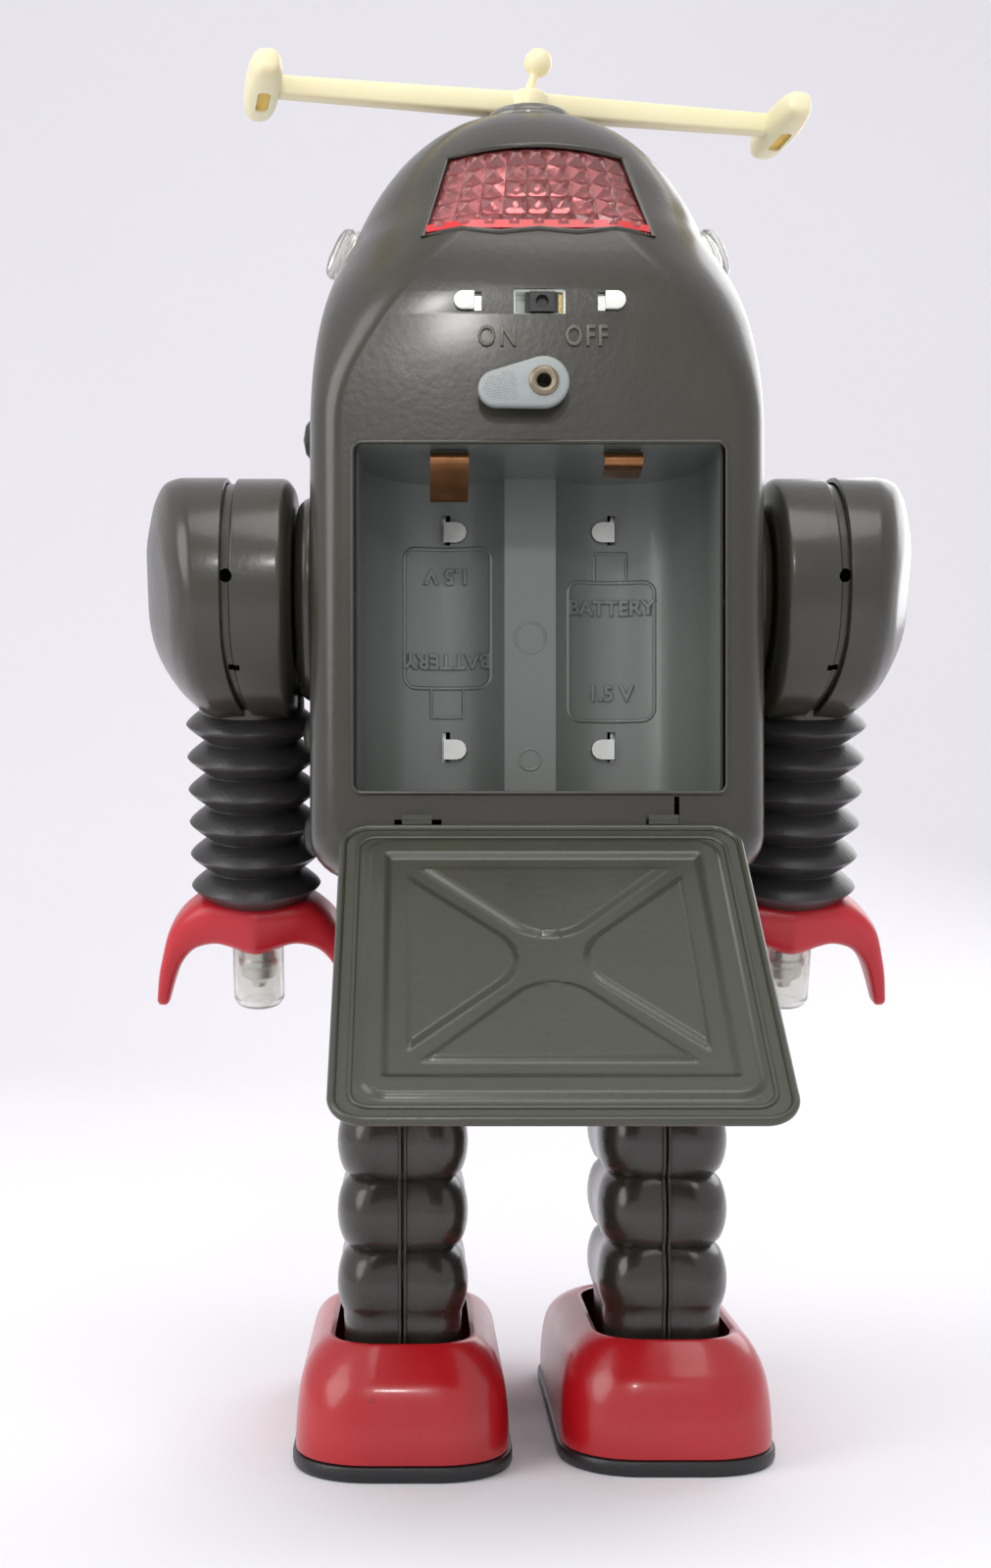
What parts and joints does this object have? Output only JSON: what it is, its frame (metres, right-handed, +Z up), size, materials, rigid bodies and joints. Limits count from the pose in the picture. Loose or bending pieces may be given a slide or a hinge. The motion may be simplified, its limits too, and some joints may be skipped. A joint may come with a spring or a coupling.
{
  "type": "toy robot",
  "caption": "Battery-operated tin robot with a turning antenna, bellows arms with lamp claws, legs that slide on rollers, and a hinged battery door hanging open at the back.",
  "frame": {"origin": "on the ground plane, at the centre of the whole object's box in X and Y", "axes": "+Z up; the robot faces -Y, so its back with the battery bay faces +Y; +X is the robot's own left"},
  "size_m": [0.1644, 0.1554, 0.2935],
  "materials": {
    "olive": "semi-gloss olive-brown enamel on tinplate",
    "brown_enamel": "gloss dark brown enamel on tinplate",
    "grey_enamel": "satin grey enamel on tinplate",
    "red_enamel": "high-gloss red enamel on tinplate",
    "red_plastic": "gloss red plastic",
    "red_lens": "transparent red plastic with a moulded diamond pattern",
    "clear_lens": "clear plastic or glass",
    "cream_plastic": "cream plastic",
    "grey_plastic": "light grey plastic",
    "black_plastic": "black plastic",
    "sole": "satin black",
    "bellows": "soft dark plastic",
    "copper": "bare copper alloy strip",
    "brass": "bare brass",
    "steel": "bright tinned steel",
    "nylon": "moulded nylon"
  },
  "bodies": {
    "torso": {"rear_shell": "olive", "front_shell": "olive", "base_plate": "grey_enamel", "crown_cap": "clear_lens", "rear_lens": "red_lens", "front_visor": "red_lens", "side_lens_left": "clear_lens", "side_lens_right": "clear_lens", "mouth_grille": "steel", "chest_dial": "steel", "shoulder_boss_left": "olive", "shoulder_boss_right": "olive", "switch_bracket": "steel", "latch_rivet": "brass", "battery_tray": "grey_enamel", "contact_left": "copper", "contact_right": "copper", "contact_bridge": "copper", "gearbox_plate_left": "steel", "gearbox_plate_right": "steel", "gearbox_spacer": "steel", "motor": "steel", "head_lamp": "clear_lens", "side_plug": "black_plastic"},
    "door": {"battery_door": "olive"},
    "latch": {"latch_lever": "grey_plastic"},
    "slider": {"switch_slider": "black_plastic"},
    "antenna": {"antenna_bar": "cream_plastic", "antenna_pin": "cream_plastic", "antenna_shaft": "steel"},
    "arms": {"arm_shaft": "steel", "arm_shell_inner_left": "olive", "arm_shell_outer_left": "olive", "bellows_left": "bellows", "claw_left": "red_plastic", "lamp_socket_left": "steel", "lamp_cover_left": "clear_lens", "arm_shell_inner_right": "olive", "arm_shell_outer_right": "olive", "bellows_right": "bellows", "claw_right": "red_plastic", "lamp_socket_right": "steel", "lamp_cover_right": "clear_lens"},
    "leg_left": {"leg_outer_left": "brown_enamel", "leg_inner_left": "brown_enamel", "leg_hanger_left": "steel", "shoe_left": "red_enamel", "sole_left": "sole"},
    "leg_right": {"leg_outer_right": "brown_enamel", "leg_inner_right": "brown_enamel", "leg_hanger_right": "steel", "shoe_right": "red_enamel", "sole_right": "sole"},
    "roller_front_left": {"roller_front_left": "black_plastic"},
    "roller_rear_left": {"roller_rear_left": "black_plastic"},
    "roller_front_right": {"roller_front_right": "black_plastic"},
    "roller_rear_right": {"roller_rear_right": "black_plastic"},
    "pinion": {"motor_pinion": "nylon"},
    "reduction": {"reduction_gear": "nylon"},
    "crank": {"crank_shaft": "steel"}
  },
  "joints": [
    {"name": "door_hinge", "type": "hinge", "parent": "torso", "child": "door", "pos_m": [0, 0.01757, 0.126], "axis": [1, 0, 0], "range_deg": [0, 130]},
    {"name": "latch_turn", "type": "hinge", "parent": "torso", "child": "latch", "pos_m": [-0.0005, 0.01997, 0.2106], "axis": [0, 1, 0], "range_deg": [-90, 90]},
    {"name": "switch_slide", "type": "slide", "parent": "torso", "child": "slider", "axis": [1, 0, 0], "range_m": [0, 0.0027]},
    {"name": "antenna_turn", "type": "hinge", "parent": "torso", "child": "antenna", "pos_m": [0, -0.02133, 0.2813], "axis": [0, 0, 1], "continuous": true},
    {"name": "arm_swing", "type": "hinge", "parent": "torso", "child": "arms", "pos_m": [0, -0.02133, 0.176], "axis": [-1, 0, 0], "range_deg": [0, 75]},
    {"name": "leg_left_slide", "type": "slide", "parent": "torso", "child": "leg_left", "axis": [0, 1, 0], "range_m": [-0.0059, 0.0021]},
    {"name": "leg_right_slide", "type": "slide", "parent": "torso", "child": "leg_right", "axis": [0, 1, 0], "range_m": [-0.0021, 0.0059]},
    {"name": "roller_front_left_spin", "type": "hinge", "parent": "leg_left", "child": "roller_front_left", "pos_m": [0.0265, -0.05543, 0.0053], "axis": [1, 0, 0], "continuous": true},
    {"name": "roller_rear_left_spin", "type": "hinge", "parent": "leg_left", "child": "roller_rear_left", "pos_m": [0.0265, 0.00257, 0.0053], "axis": [1, 0, 0], "continuous": true},
    {"name": "roller_front_right_spin", "type": "hinge", "parent": "leg_right", "child": "roller_front_right", "pos_m": [-0.0265, -0.05923, 0.0053], "axis": [1, 0, 0], "continuous": true},
    {"name": "roller_rear_right_spin", "type": "hinge", "parent": "leg_right", "child": "roller_rear_right", "pos_m": [-0.0265, -0.00123, 0.0053], "axis": [1, 0, 0], "continuous": true},
    {"name": "crank_spin", "type": "hinge", "parent": "torso", "child": "crank", "pos_m": [0, -0.03533, 0.139], "axis": [1, 0, 0], "continuous": true},
    {"name": "reduction_spin", "type": "hinge", "parent": "torso", "child": "reduction", "pos_m": [0, -0.04189, 0.15704], "axis": [1, 0, 0], "continuous": true},
    {"name": "pinion_spin", "type": "hinge", "parent": "torso", "child": "pinion", "pos_m": [0, -0.04357, 0.17617], "axis": [1, 0, 0], "continuous": true}
  ],
  "couplings": [
    {"joint": "leg_right_slide", "follows": "leg_left_slide", "ratio": -1},
    {"joint": "reduction_spin", "follows": "crank_spin", "ratio": -3},
    {"joint": "pinion_spin", "follows": "crank_spin", "ratio": 9}
  ]
}
